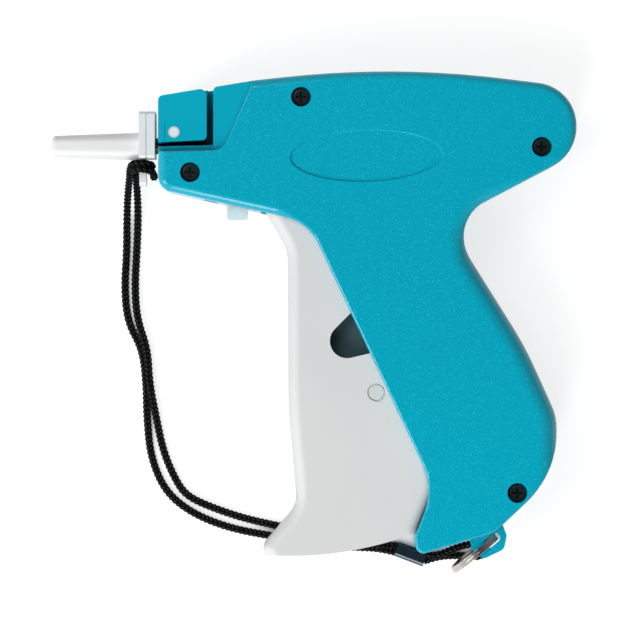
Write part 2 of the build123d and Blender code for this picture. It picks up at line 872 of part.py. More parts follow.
# ------------------------------------------------------------------ feed and release
def feed_wheel():
    """A star wheel whose round-bottomed gaps take the paddles of a strip of tag pins."""
    wheel = Circle(feed_tip)
    gap_radius = math.pi * feed_tip / feed_teeth * feed_gap_share
    for i in range(feed_teeth):
        angle = 360 / feed_teeth * i
        wheel -= Rot(0, 0, angle) * Pos(feed_root + gap_radius, 0) * Circle(gap_radius)
    wheel -= Circle(feed_axle_radius + pin_clearance)
    return Pos(feed_x, feed_y) * prism(wheel, feed_bottom, feed_bottom + feed_width)


def feed_arm():
    """The index arm on the same axle, with a peg down into one gap of the wheel."""
    low = feed_bottom + feed_width + post_gap
    peg_x = feed_root + index_peg + index_peg_gap
    arm = link([(0, 0, feed_axle_radius + index_arm_hub), (peg_x, 0, index_peg)])
    arm -= Circle(feed_axle_radius + pin_clearance)
    body = prism(arm, low, low + index_arm_thick)
    body += disc(peg_x, 0, index_peg, feed_bottom + index_peg_floor, low + bond)
    return Pos(feed_x, feed_y) * Rot(0, 0, 90) * body


def feed_axle():
    """The fixed steel axle of the feed wheel."""
    return disc(feed_x, feed_y, feed_axle_radius, feed_axle_low, left_inside - peg_touch)


def release_lever():
    """The clip release: it hangs from a post, checks the feed wheel and ends in a finger tab."""
    elbow_x = release_x - release_elbow
    elbow_y = tab_root - side_gap
    arm = link([(release_x, release_y, release_hub), (elbow_x, elbow_y, release_elbow_round)])
    body = prism(arm, release_bottom, release_high)
    body += block(tab_front, elbow_x, tab_root - release_hub, tab_root, release_bottom,
                  release_high)
    tab = block(tab_front, tab_rear, tab_end, tab_root, release_bottom, release_high)
    body += fillet(tab.edges().group_by(Axis.Y)[0], tab_round)
    body += disc(release_x + release_peg_x, release_y + release_peg_y, release_peg,
                 feed_bottom + release_peg_floor, release_bottom + bond)
    return body - disc(release_x, release_y, release_post + pin_clearance, 0, body_thickness)


# ------------------------------------------------------------------ cutter, needle and lock
def blade_shape(grow):
    """The cutter's blade beside the clip slot, with a slanted edge at the slit."""
    front = clip_slot_front - blade_gap
    back = needle_axis - blade_back - grow
    edge = needle_axis - blade_edge + grow
    top = nose_floor - blade_cover + grow
    corners = [
        (back, blade_bottom - grow),
        (edge, blade_heel - grow),
        (edge + blade_lean, top),
        (back, top),
    ]
    profile = Plane.YZ * make_face(Polyline(*corners, close=True))
    return Pos(front - blade_thick / 2 - grow, 0, 0) * extrude(profile, blade_thick + 2 * grow)


def needle_hub():
    """The needle's moulded base, with a notch for the lock and a slit for the filament."""
    hub = bar_x(head_front - hub_reach, hub_rear, needle_axis, parting, hub_radius)
    hub = chamfer(hub.edges().group_by(Axis.X)[0], hub_chamfer)
    hub -= bar_x(-far, hub_rear + past, needle_axis, parting, needle_outer + fit_clearance)
    hub -= disc(lock_x, lock_y, lock_radius + lock_notch_gap, 0, body_thickness)
    return hub - block(-far, hub_rear + past, needle_axis - needle_slit,
                       needle_axis + needle_slit, parting, body_thickness)


def needle():
    """The hollow steel needle, slit along its left side and ground to a slanted point."""
    tube = bar_x(needle_tip, hub_rear, needle_axis, parting, needle_outer)
    tube -= bar_x(needle_tip - past, hub_rear + past, needle_axis, parting, needle_bore)
    tube -= block(needle_tip - past, hub_rear + past, needle_axis - needle_slit / 2,
                  needle_axis + needle_slit / 2, parting, body_thickness)
    bevel = Pos(needle_tip, needle_axis + needle_outer, parting) * Rot(0, 0, needle_bevel)
    size = 4 * needle_outer
    return tube - bevel * Pos(0, size / 2, 0) * Box(2 * size, size, size)


def lock_cut():
    """The lock's bore in the nose block and the recess that its arm swings in."""
    bore = disc(lock_x, lock_y, lock_radius + pin_clearance, 0, front_block_top + past)
    swing = Pos(lock_x, lock_y) * Circle(lock_arm + bond)
    width = lock_radius + rib_gap
    quarter = behind(lock_x - width) & Pos(lock_x, lock_y + width - far / 2) * Rectangle(far, far)
    recess = Pos(lock_x, lock_y) * Circle(width) + (quarter & swing)
    return bore + prism(recess, -past, lock_arm_thick + bond)


def needle_lock():
    """A round bolt across the nose with a low arm on the right side."""
    bolt = disc(lock_x, lock_y, lock_radius, 2 * lock_arm_sink, front_block_top - lock_notch_gap)
    arm = link([(0, 0, lock_radius), (lock_arm - lock_radius, 0, lock_radius - lock_arm_taper)])
    return bolt + Pos(lock_x, lock_y) * prism(arm, lock_arm_sink, lock_arm_sink + lock_arm_thick)


def needle_cap():
    """The push-on needle guard: a tapered nose, a doubled flange and a tab for the cord."""
    half = cap_flange_half
    middle = needle_axis - cap_nose_drop
    root = Plane((cap_flange_front + bond, middle, parting), x_dir=(0, 1, 0), z_dir=(-1, 0, 0))
    tip = Plane((cap_tip, middle, parting), x_dir=(0, 1, 0), z_dir=(-1, 0, 0))
    body = loft([root * RectangleRounded(cap_nose_tall, cap_nose_deep, cap_nose_round),
                 tip * RectangleRounded(cap_tip_tall, cap_tip_deep, cap_tip_round)])
    body = fillet(body.faces().sort_by(Axis.X)[0].edges(), cap_tip_edge)
    for front, rear in ((cap_flange_front, cap_split - cap_groove),
                        (cap_split + cap_groove, cap_flange_rear)):
        plate = block(front, rear, cap_flange_bottom, cap_flange_top, parting - half,
                      parting + half)
        body += fillet(plate.edges().filter_by(Axis.X), cap_flange_round)
    deep = cap_groove_deep
    body += block(cap_flange_front, cap_flange_rear - running_gap, cap_flange_bottom + deep,
                  cap_flange_top - deep, parting - half + deep, parting + half - deep)
    tab = block(cap_flange_front, cap_split - cap_groove, cap_tab_bottom,
                cap_flange_top - cap_tab_top, parting - cap_tab_half, parting + cap_tab_half)
    body += fillet(tab.edges().filter_by(Axis.X).group_by(Axis.Y)[0], cap_tab_round)
    body -= bar_x(needle_tip - cap_end_wall, 0, needle_axis, parting, cap_bore)
    return body - bar_x(head_front - hub_reach - rib_gap, 0, needle_axis, parting,
                        hub_radius + blade_fit)


# ------------------------------------------------------------------ ring and cord
def lanyard_ring():
    """A flat-sided split ring of two turns, standing on edge in the lug's eye."""
    inner = ring_radius - ring_wire
    half = ring_width / 2
    middle = (inner + ring_radius) / 2
    turn = Pos(middle, half / 2) * RectangleRounded(ring_wire, half - ring_split, ring_edge)
    core = Pos(middle, 0) * Rectangle(ring_wire - ring_core_step, half)
    section = turn + Pos(0, -half) * turn + core
    ring = revolve(Plane.XZ * section, Axis.Z)
    return ring_frame().location * ring


def route_radii(points):
    """For each inner corner, a set share of its shorter run over the tangent of half its turn."""
    radii = []
    for before, corner, after in zip(points, points[1:], points[2:]):
        back = Vector(*corner) - Vector(*before)
        ahead = Vector(*after) - Vector(*corner)
        turn = math.radians(back.get_angle(ahead))
        radii.append(cord_bend_share * min(back.length, ahead.length) / math.tan(turn / 2))
    return radii


def cord_tube(points, name):
    """A round cord along straight runs joined by tangent arcs."""
    radii = route_radii(points)
    print(name, "radii", [round(radius, 1) for radius in radii])
    path = FilletPolyline(*points, radius=radii)
    profile = Plane(path @ 0, z_dir=path % 0) * Circle(cord_radius)
    tube = sweep(profile, path=path.wire())
    print(name, "volume over section times length",
          round(tube.volume / (math.pi * cord_radius ** 2 * path.length), 4))
    return tube


strand_outer_points = [
    (-74.0, 39.6, 13.6),
    (-75.0, 34.2, 7.0),
    (-75.6, 27.0, 1.9),
    (-76.2, 16.5, cord_rest),
    (-76.0, 6.0, cord_rest),
    (-74.7, -4.2, cord_rest),
    (-70.9, -12.0, cord_rest),
    (-69.7, -22.0, cord_rest),
    (-69.2, -33.0, cord_rest),
    (-67.7, -44.2, cord_rest),
    (-63.8, -54.6, cord_rest),
    (-56.3, -61.2, cord_rest),
    (-45.3, -65.3, cord_rest),
    (-33.0, -67.8, cord_rest),
    (-20.3, -70.2, cord_rest),
    (-8.0, -71.9, cord_rest),
    (4.03, -72.46, cord_rest),
]

strand_inner_points = [
    (-72.5, 39.5, 10.4),
    (-72.3, 34.4, 5.0),
    (-72.2, 27.0, 1.4),
    (-72.5, 17.0, cord_rest),
    (-72.9, 6.5, 1.5),
    (-72.3, -3.0, 3.3),
    (-70.7, -12.3, 4.1),
    (-68.8, -22.0, 3.9),
    (-66.5, -32.0, 2.0),
    (-64.1, -42.3, cord_rest),
    (-59.5, -51.8, cord_rest),
    (-51.4, -58.2, cord_rest),
    (-41.0, -62.1, cord_rest),
    (-29.5, -64.7, cord_rest),
    (-17.8, -67.1, cord_rest),
    (-6.3, -68.9, cord_rest),
    (4.91, -70.14, cord_rest),
]

bight_points = [
    (13.3, -73.4, cord_rest),
    (17.9, -71.9, 2.0),
    (22.3, -71.0, 4.6),
    (26.3, -72.2, 6.2),
    (29.6, -76.2, 6.4),
    (29.4, -76.3, cord_rest),
    (25.3, -74.5, 1.3),
    (19.6, -74.4, cord_rest),
    (12.45, -75.6, cord_rest),
]


def cord_hitch():
    """The cord's turn round the cap's tab, with the two stubs that the strands leave from."""
    middle_x = (cap_flange_front + cap_split) / 2
    half_x = (cap_split - cap_flange_front) / 2 + cord_radius + hitch_gap
    half_z = cap_tab_half + cord_radius + hitch_gap
    path = Plane((middle_x, hitch_y, parting), x_dir=(1, 0, 0), z_dir=(0, -1, 0))
    path = path * RectangleRounded(2 * half_x, 2 * half_z, hitch_round)
    start = path.wire().edges()[0]
    profile = Plane(start @ 0, z_dir=start % 0) * Circle(cord_radius)
    loop = sweep(profile, path=path.wire())
    for points in (strand_outer_points, strand_inner_points):
        away = (Vector(*points[0]) - Vector(*points[1])).normalized()
        stub = Plane(Vector(*points[0]) + away * hitch_stub_gap, z_dir=away)
        loop += extrude(stub * Circle(cord_radius), hitch_stub)
    tail = Pos(*hitch_tail) * Sphere(cord_radius)
    rise = Pos(*hitch_tail) * Pos(0, hitch_tail_length / 2, 0) * Rot(90, 0, 0)
    return loop + tail + rise * Cylinder(cord_radius, hitch_tail_length)


def cord_ferrule():
    """A crimped metal sleeve that holds the two strands side by side."""
    heading = math.radians(ferrule_heading)
    place = Plane((ferrule_x, ferrule_y, ferrule_tall / 2),
                  x_dir=(math.sin(heading), -math.cos(heading), 0),
                  z_dir=(math.cos(heading), math.sin(heading), 0))
    profile = place * RectangleRounded(ferrule_wide, ferrule_tall, ferrule_round)
    return extrude(profile, ferrule_length)


# ------------------------------------------------------------------ the sub-parts
os.makedirs("parts", exist_ok=True)

save(left_shell(), "left_shell")
save(right_shell(), "right_shell")
save(shell_screws(), "shell_screws")
save(trigger(), "trigger")
save(through_pin(trigger_pivot_x, trigger_pivot_y, pivot_pin), "trigger_pivot_pin")
save(trigger_drive_pin(), "trigger_drive_pin")
save(trigger_spring(), "trigger_spring")
save(swing_lever(), "swing_lever")
save(through_pin(0, 0, pivot_pin), "lever_pivot_pin")
save(lever_slider_pin(), "lever_slider_pin")
save(slider(), "slider")
save(push_rod(), "push_rod")
save(slider_bumper(), "slider_bumper")
save(feed_wheel(), "feed_wheel")
save(feed_arm(), "feed_arm")
save(feed_axle(), "feed_axle")
save(release_lever(), "release_lever")
save(blade_shape(0), "cutter_blade")
save(needle(), "needle")
save(needle_hub(), "needle_hub")
save(needle_lock(), "needle_lock")
save(needle_cap(), "needle_cap")
save(lanyard_ring(), "lanyard_ring")
save(cord_hitch(), "cord_hitch")
save(cord_tube(strand_outer_points, "cord_strand_outer"), "cord_strand_outer")
save(cord_tube(strand_inner_points, "cord_strand_inner"), "cord_strand_inner")
save(cord_tube(bight_points, "cord_bight"), "cord_bight")
save(cord_ferrule(), "cord_ferrule")
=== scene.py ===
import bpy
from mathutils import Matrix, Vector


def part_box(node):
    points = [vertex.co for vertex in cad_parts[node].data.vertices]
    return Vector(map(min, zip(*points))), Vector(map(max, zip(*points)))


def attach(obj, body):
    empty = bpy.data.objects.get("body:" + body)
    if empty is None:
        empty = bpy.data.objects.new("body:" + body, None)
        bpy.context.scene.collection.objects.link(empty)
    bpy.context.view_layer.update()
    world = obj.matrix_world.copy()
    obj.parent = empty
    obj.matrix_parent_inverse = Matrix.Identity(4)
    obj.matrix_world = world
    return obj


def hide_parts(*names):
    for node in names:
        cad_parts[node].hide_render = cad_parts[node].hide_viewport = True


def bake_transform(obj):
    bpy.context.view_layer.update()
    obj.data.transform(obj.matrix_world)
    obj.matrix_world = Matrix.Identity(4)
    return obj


bl_info = {
    "name": "Garment Tag Attacher",
    "version": (1, 0, 0),
    "blender": (4, 5, 0),
    "location": "3D View > Sidebar > Tag Attacher",
    "description": "Dresses the tag attacher's solids: plastics, metals, braided cord and a plain stage",
    "category": "Object",
}

import bpy
import numpy as np
from bpy.props import FloatProperty, FloatVectorProperty, PointerProperty
from mathutils import Vector

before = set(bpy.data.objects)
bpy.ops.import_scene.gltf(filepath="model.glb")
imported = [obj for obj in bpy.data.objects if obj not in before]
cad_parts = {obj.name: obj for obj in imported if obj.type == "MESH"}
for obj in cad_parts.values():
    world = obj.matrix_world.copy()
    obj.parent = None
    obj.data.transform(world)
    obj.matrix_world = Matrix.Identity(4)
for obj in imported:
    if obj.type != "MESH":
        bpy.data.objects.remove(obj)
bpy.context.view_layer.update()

MM = 0.001
UPWARD = (0.0, 0.0, 1.0)
BLACK = (0.0, 0.0, 0.0)
WHITE = (1.0, 1.0, 1.0)

# The cord's routes run from the hitch on the guard to the crimped sleeve, and from the sleeve
# through the ring and back.
STRAND_OUTER = np.array([
    (-74.0, 39.6, 13.6),
    (-75.0, 34.2, 7.0),
    (-75.5, 27.0, 1.9),
    (-75.6, 16.5, 1.2),
    (-76.3, 6.0, 1.2),
    (-75.3, -4.2, 1.2),
    (-71.0, -12.0, 1.2),
    (-69.8, -22.0, 1.2),
    (-69.6, -33.0, 1.2),
    (-68.5, -44.2, 1.2),
    (-64.2, -54.4, 1.2),
    (-56.3, -60.8, 1.2),
    (-45.3, -65.2, 1.2),
    (-33.0, -67.5, 1.2),
    (-20.3, -69.6, 1.2),
    (-8.0, -70.9, 1.2),
    (-0.8, -71.1, 1.2),
    (3.98, -72.3, 1.25),
]) * MM
STRAND_INNER = np.array([
    (-72.5, 39.5, 10.4),
    (-72.3, 34.4, 5.0),
    (-72.2, 27.0, 1.4),
    (-72.6, 17.0, 1.2),
    (-73.2, 6.5, 1.5),
    (-72.5, -3.0, 3.3),
    (-69.3, -12.3, 3.1),
    (-68.8, -22.0, 3.7),
    (-66.9, -32.0, 2.0),
    (-64.8, -42.3, 1.2),
    (-61.6, -50.0, 1.2),
    (-58.2, -55.4, 1.2),
    (-51.4, -58.7, 1.2),
    (-41.0, -62.3, 1.2),
    (-29.5, -64.8, 1.2),
    (-17.8, -67.4, 1.4),
    (-6.3, -69.6, 3.2),
    (-0.6, -70.2, 3.4),
    (4.8, -70.4, 1.6),
]) * MM
BIGHT = np.array([
    (13.35, -73.1, 1.6),
    (15.1, -73.4, 3.2),
    (17.6, -72.9, 3.7),
    (21.2, -71.1, 4.7),
    (25.2, -69.8, 6.0),
    (28.9, -69.4, 6.6),
    (30.6, -71.7, 5.4),
    (29.7, -73.4, 2.4),
    (26.8, -73.7, 1.2),
    (22.8, -73.3, 1.2),
    (18.6, -73.4, 1.2),
    (15.0, -74.1, 1.2),
    (12.5, -75.0, 1.2),
]) * MM
# The hitch's two turns round the guard's tab. They finish in a short cut end.
HITCH_TURN = np.array([
    (-74.1, 39.3, 13.4),
    (-74.0, 41.0, 15.8),
    (-72.9, 42.2, 18.0),
    (-70.8, 42.4, 18.8),
    (-68.8, 42.2, 18.4),
    (-67.7, 41.9, 16.2),
    (-67.6, 41.7, 13.2),
    (-67.7, 41.4, 10.2),
    (-68.8, 41.2, 8.3),
    (-70.8, 41.0, 7.8),
    (-72.6, 40.8, 8.7),
    (-73.3, 40.5, 11.0),
    (-73.3, 40.3, 14.0),
    (-73.0, 40.4, 16.8),
    (-71.7, 40.6, 18.9),
    (-70.0, 40.6, 19.2),
    (-68.3, 40.3, 18.3),
    (-67.2, 39.7, 16.6),
    (-66.9, 38.9, 14.8),
    (-67.0, 38.2, 13.4),
]) * MM
# Directions that the loop and the hitch never run along. The braid's rings are turned from them.
BIGHT_LEAN = (0.15, 0.95, 0.3)
HITCH_LEAN = (0.0, 1.0, 0.1)

# A cord's spline has this many runs between two control points.
SPLINE_RUNS = 16
# The braid has an even number of columns. Its mesh: rings in a stitch, points in a ring, the
# least number of rings, and the reach of the stitches' crowns and of the two drawn-in ends as
# shares of the radius.
BRAID_COLUMNS = 6
RINGS_IN_STITCH = 10
BRAID_ROUND = 36
LEAST_RINGS = 8
BRAID_CROWN = 1.05
BRAID_END = 0.8

# Plans of the low block behind the clip slot and of the ledge under the slit: x, y and corner
# radius. Both plates reach a little way under the left shell's slanted edge.
REAR_BLOCK = np.array([
    (-49.28, 47.45, 0.35),
    (-45.03, 47.45, 0.5),
    (-36.80, 66.28, 0.5),
    (-49.28, 64.24, 1.3),
]) * MM
LEDGE = np.array([
    (-65.28, 44.95, 0.35),
    (-49.40, 45.25, 0.35),
    (-49.40, 47.33, 0.35),
    (-65.28, 46.93, 0.35),
]) * MM
# The plates' lower and upper faces, and the radius of their upper edges. The last ring of a
# plate lies on its flat top, this many edge radii in. A corner has this many points, and the
# quarter round this many rings.
PLATE_LOW = 21.5 * MM
PLATE_TOP = 24.09 * MM
PLATE_EDGE = 0.2 * MM
PLATE_INSET = 1.4
CORNER_POINTS = 8
EDGE_RINGS = 6

# The trigger's return spring: three and three quarter turns round the pivot, a leg that pushes
# the trigger's front wall and a leg that rests on the shell's peg.
TRIGGER_SPRING = {
    "centre": np.array((-27.0, 31.3, 15.8)) * MM,
    "radius": 3.65 * MM,
    "wire": 0.45 * MM,
    "pitch": 0.9675 * MM,
    "start": -3.5,
    "turns": 3 + 273.5 / 360,
    "first_leg": 17.5 * MM,
    "last_leg": 25.0 * MM,
}
# The spring's mesh: rings in a turn, rings in each leg and points in a ring.
COIL_RINGS = 40
FIRST_LEG_RINGS = 20
LAST_LEG_RINGS = 28
WIRE_ROUND = 14

# The white end of the needle's lock, in the nose.
LOCK_PLACE = (-60.7 * MM, 51.1 * MM)
LOCK_RADIUS = 1.7 * MM

# A screw's cross slot is darkened by painted shade. The head keeps its black down to the shallow
# depth below its top, and the painted shade is darkest from the deep one on, at the bottom of the slot.
SLOT_DEEP = 1.2 * MM
SLOT_SHALLOW = 0.1 * MM
SLOT_PAINTED_SHADE = (0.0003, 0.0008, 0.0008)
HEAD_BLACK = (0.004, 0.013, 0.014)

# The black of the cord between its stitches, and the grey of a painted highlight on the threads of their
# crowns.
CORD_GAP = (0.0004, 0.0004, 0.0005)
CORD_PAINTED_HIGHLIGHT = (0.15, 0.15, 0.155)

# A cell of the left shell's foam is a flake where its random number is above the limit. Flakes
# and grain tint the plastic by these shares.
FLAKE_LIMIT = 0.945
FLAKE_TINT = 0.55
GRAIN_TINT = 0.4

# How many lumps, grains or threads each pattern has to the metre.
PLASTIC_CLOUDS = 30.0
PLASTIC_GRAIN = 900.0
SHELL_CLOUDS = 14.0
SHELL_FLAKES = 5200.0
SHELL_GRAINS = 3000.0
SHELL_WAVES = 120.0
SCREW_GRAIN = 2500.0
CLEAR_CLOUDS = 200.0
CORD_THREADS = 5200.0
FLOOR_DUST = 6.0

# The floor's half width, and how near a surface has to be to shade it. Its white goes from none
# to full over this range of open sky. Its dust is this share of its own colour.
FLOOR_REACH = 3.0
SHADED_WITHIN = 8.0 * MM
OPEN_SKY = (0.1, 0.45)
DUST_SHADE = 0.99
# The sides on which the surrounding light is brightest and dimmest.
BRIGHT_SIDE = (-0.55, -0.83, 0.0)
DIM_SIDE = (0.8, 0.6, 0.0)


# ------------------------------------------------------------------ shader expressions
class Field:
    """A number that varies over a surface. Its sums, products and powers add Math nodes."""

    def __init__(self, finish, socket):
        self.finish = finish
        self.socket = socket

    def maths(self, operation, *values):
        made = self.finish.node("ShaderNodeMath", {"operation": operation},
                                dict(enumerate(values)))
        return Field(self.finish, made.outputs[0])

    def __add__(self, other):
        return self.maths("ADD", self, other)

    __radd__ = __add__

    def __sub__(self, other):
        return self.maths("SUBTRACT", self, other)

    def __rsub__(self, other):
        return self.maths("SUBTRACT", other, self)

    def __mul__(self, other):
        return self.maths("MULTIPLY", self, other)

    __rmul__ = __mul__

    def __truediv__(self, other):
        return self.maths("DIVIDE", self, other)

    def __pow__(self, other):
        return self.maths("POWER", self, other)

    def above(self, limit):
        """1 where the number is above the limit, and 0 elsewhere."""
        return self.maths("GREATER_THAN", self, limit)

    def within(self, low, high):
        """The number taken from low..high to 0..1, and held there."""
        ranged = self.finish.node("ShaderNodeMapRange", {"clamp": True},
                                  {"Value": self, "From Min": low, "From Max": high})
        return Field(self.finish, ranged.outputs[0])


class Finish:
    """A material or a world that is being put together from nodes."""

    def __init__(self, name, world=None):
        self.material = world or bpy.data.materials.new(name)
        self.material.use_nodes = True
        self.tree = self.material.node_tree
        self.tree.nodes.clear()
        self.output = self.node("ShaderNodeOutputWorld" if world else "ShaderNodeOutputMaterial")

    def node(self, kind, settings=None, sockets=None):
        """A node of that kind, with its settings and then its sockets' values or links."""
        made = self.tree.nodes.new(kind)
        for key, value in (settings or {}).items():
            setattr(made, key, value)
        for key, value in (sockets or {}).items():
            socket = made.inputs[key]
            if isinstance(value, Field):
                self.tree.links.new(value.socket, socket)
            elif isinstance(value, bpy.types.NodeSocket):
                self.tree.links.new(value, socket)
            else:
                socket.default_value = value
        return made

    def place(self):
        """The surface's own place on the object, in metres."""
        return self.node("ShaderNodeTexCoord").outputs["Object"]

    def noise(self, scale, detail=2.0, point=None):
        """Smooth noise with that many lumps to the metre."""
        made = self.node("ShaderNodeTexNoise", None, {
            "Vector": point or self.place(), "Scale": scale, "Detail": detail})
        return Field(self, made.outputs[0])

    def cells(self, scale):
        """A random number for each cell of a foam with that many cells to the metre."""
        foam = self.node("ShaderNodeTexVoronoi", None, {"Vector": self.place(), "Scale": scale})
        parts = self.node("ShaderNodeSeparateColor", None, {"Color": foam.outputs["Color"]})
        return Field(self, parts.outputs[0])

    def tint(self, factor, low, high):
        """A colour that goes from low, a colour or a socket, to high with the factor."""
        made = self.node("ShaderNodeMix", {"data_type": "RGBA"}, {
            0: factor,
            6: low if isinstance(low, bpy.types.NodeSocket) else (*low, 1.0),
            7: (*high, 1.0)})
        return made.outputs[2]

    def dot(self, vector, direction):
        """How far the vector points in a direction."""
        made = self.node("ShaderNodeVectorMath", {"operation": "DOT_PRODUCT"}, {
            0: vector, 1: direction})
        return Field(self, made.outputs["Value"])

    def bump(self, height, depth, strength):
        """A surface direction that follows a height field, whose full step is depth in metres."""
        made = self.node("ShaderNodeBump", None, {
            "Height": height, "Distance": depth, "Strength": strength})
        return made.outputs["Normal"]

    def glow(self, colour):
        """The finished light of a world."""
        shader = self.node("ShaderNodeBackground", None, {"Color": colour})
        self.tree.links.new(shader.outputs[0], self.output.inputs["Surface"])

    def surface(self, **sockets):
        """The finished material. Each socket's name is in lower case with underscores."""
        names = {key.replace("_", " ").title().replace("Ior", "IOR"): value
                 for key, value in sockets.items()}
        shader = self.node("ShaderNodeBsdfPrincipled", None, names)
        self.tree.links.new(shader.outputs[0], self.output.inputs["Surface"])
        return self.material


def put_on(material, *names):
    """Gives the material to solids or pieces by name."""
    for name in names:
        mesh = bpy.data.objects[name].data
        mesh.materials.clear()
        mesh.materials.append(material)


def top_of(node):
    """The height of a solid's highest point at rest."""
    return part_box(node)[1][2]


# ------------------------------------------------------------------ shapes
def unit(vectors):
    """The vectors, each divided by its length."""
    return vectors / np.linalg.norm(vectors, axis=-1, keepdims=True)


def smooth_line(name, points):
    """The places along a NURBS spline of order 3 whose control points are the route's."""
    curve = bpy.data.curves.new(name, "CURVE")
    curve.dimensions = "3D"
    curve.resolution_u = SPLINE_RUNS
    spline = curve.splines.new("NURBS")
    spline.points.add(len(points) - 1)
    spline.points.foreach_set("co", np.column_stack([points, np.ones(len(points))]).ravel())
    spline.order_u = 3
    spline.use_endpoint_u = True
    holder = bpy.data.objects.new(name, curve)
    line = bpy.data.meshes.new_from_object(holder)
    places = np.empty(len(line.vertices) * 3)
    line.vertices.foreach_get("co", places)
    bpy.data.objects.remove(holder)
    bpy.data.meshes.remove(line)
    return places.reshape(-1, 3)


def even_steps(line, step):
    """Lengths along the line at even steps, and the places there, interpolated by length."""
    run = np.concatenate([[0.0], np.cumsum(np.linalg.norm(np.diff(line, axis=0), axis=1))])
    along = np.linspace(0.0, run[-1], max(LEAST_RINGS, int(round(run[-1] / step))))
    return along, np.column_stack([np.interp(along, run, line[:, i]) for i in range(3)])


def tube_grid(line, lean, angle, reach):
    """Rings of points across a line: grid (stations, round, 3).

    The side vector is the line's direction crossed with the lean, and the over vector is the
    direction crossed with the side. A point of the ring lies at reach (cos a side + sin a over)
    from the line.
    """
    ahead = unit(np.gradient(line, axis=0))
    side = unit(np.cross(ahead, lean))[:, None, :]
    over = np.cross(ahead, side[:, 0])[:, None, :]
    angle = angle[None, :, None]
    return line[:, None, :] + reach * (np.cos(angle) * side + np.sin(angle) * over)


def grid_mesh(name, grid):
    """A closed mesh from a grid of points (stations, round, 3), joined round each station."""
    stations, ring = grid.shape[:2]
    index = np.arange(stations * ring).reshape(stations, ring)
    here, there = index[:-1], index[1:]
    faces = np.stack([here, np.roll(here, -1, 1), np.roll(there, -1, 1), there], -1)
    faces = faces.reshape(-1, 4).tolist()
    faces += [index[0][::-1].tolist(), index[-1].tolist()]
    mesh = bpy.data.meshes.new(name)
    mesh.from_pydata(grid.reshape(-1, 3), [], faces)
    mesh.shade_smooth()
    return mesh


def grid_piece(name, grid):
    """A new piece in the scene with the grid's closed mesh."""
    piece = bpy.data.objects.new(name, grid_mesh(name, grid))
    bpy.context.scene.collection.objects.link(piece)
    return piece


def rounded_plan(corners):
    """Points round a closed plan, counterclockwise, whose corners (x, y, radius) are arcs.

    An arc's centre lies inwards from its corner along the middle line, at the radius divided by
    the sine of half the corner's angle. The arc starts and ends on the two sides, at the radius
    divided by the tangent of that half.
    """
    place, radius = corners[:, :2], corners[:, 2:]
    back = unit(np.roll(place, 1, 0) - place)
    ahead = unit(np.roll(place, -1, 0) - place)
    half = np.arccos(np.sum(back * ahead, axis=1, keepdims=True)) / 2
    inwards = unit(back + ahead) * radius / np.sin(half)
    start = back * radius / np.tan(half) - inwards
    end = ahead * radius / np.tan(half) - inwards
    share = np.linspace(0.0, 1.0, CORNER_POINTS)[:, None]
    arc = unit(start[:, None] * (1 - share) + end[:, None] * share) * radius[:, None]
    return ((place + inwards)[:, None] + arc).reshape(-1, 2)


def plate(name, corners):
    """A plate over the rounded plan of those corners, whose upper edge is a quarter round.

    Each ring of the grid is the plan moved inwards: at angle t of the quarter round by
    edge (1 - cos t), at the height top - edge (1 - sin t).
    """
    plan = rounded_plan(corners)
    ahead = unit(np.roll(plan, -1, 0) - plan)
    behind = unit(plan - np.roll(plan, 1, 0))
    along = ahead + behind
    inward = unit(np.column_stack([-along[:, 1], along[:, 0]]))
    turn = np.linspace(0.0, np.pi / 2, EDGE_RINGS)
    insets = [0.0, *(PLATE_EDGE * (1 - np.cos(turn))), PLATE_INSET * PLATE_EDGE]
    heights = [PLATE_LOW, *(PLATE_TOP - PLATE_EDGE * (1 - np.sin(turn))), PLATE_TOP]
    return grid_piece(name, np.stack([
        np.column_stack([plan + inset * inward, np.full(len(plan), height)])
        for inset, height in zip(insets, heights)]))


def braid(name, points, lean, look):
    """A braided cord along a route, and the line that it follows.

    Each station's ring lies across the line, turned by the lean vector. Round it run six columns
    of slanted stitches, which meet in chevrons: with the angle a from a column's edge, length s
    and a fold f that goes from 0 to 1 and back in each third of the round, a point stands out by
    the squared sine of pi (s / stitch + slant f), times the root of the sine of 3 a without its
    sign.
    """
    line = smooth_line(name, points)
    along, centre = even_steps(line, look.stitch_length / RINGS_IN_STITCH)
    angle = np.linspace(0.0, 2 * np.pi, BRAID_ROUND, endpoint=False)
    turned = angle - np.pi / BRAID_COLUMNS
    fold = np.arcsin(np.abs(np.sin(BRAID_COLUMNS / 4 * turned))) * 2 / np.pi
    column = np.sqrt(np.abs(np.sin(BRAID_COLUMNS / 2 * turned)))
    march = along[:, None] / look.stitch_length + look.stitch_slant * fold[None, :]
    crown = column[None, :] * np.sin(np.pi * march) ** 2
    reach = look.cord_diameter / 2 * (BRAID_CROWN - look.stitch_depth * (1 - crown))
    reach[[0, -1]] *= BRAID_END
    piece = grid_piece(name, tube_grid(centre, lean, angle, reach[..., None]))
    height = piece.data.attributes.new("stitch_height", "FLOAT", "POINT")
    height.data.foreach_set("value", crown.astype(np.float32).ravel())
    return piece, centre


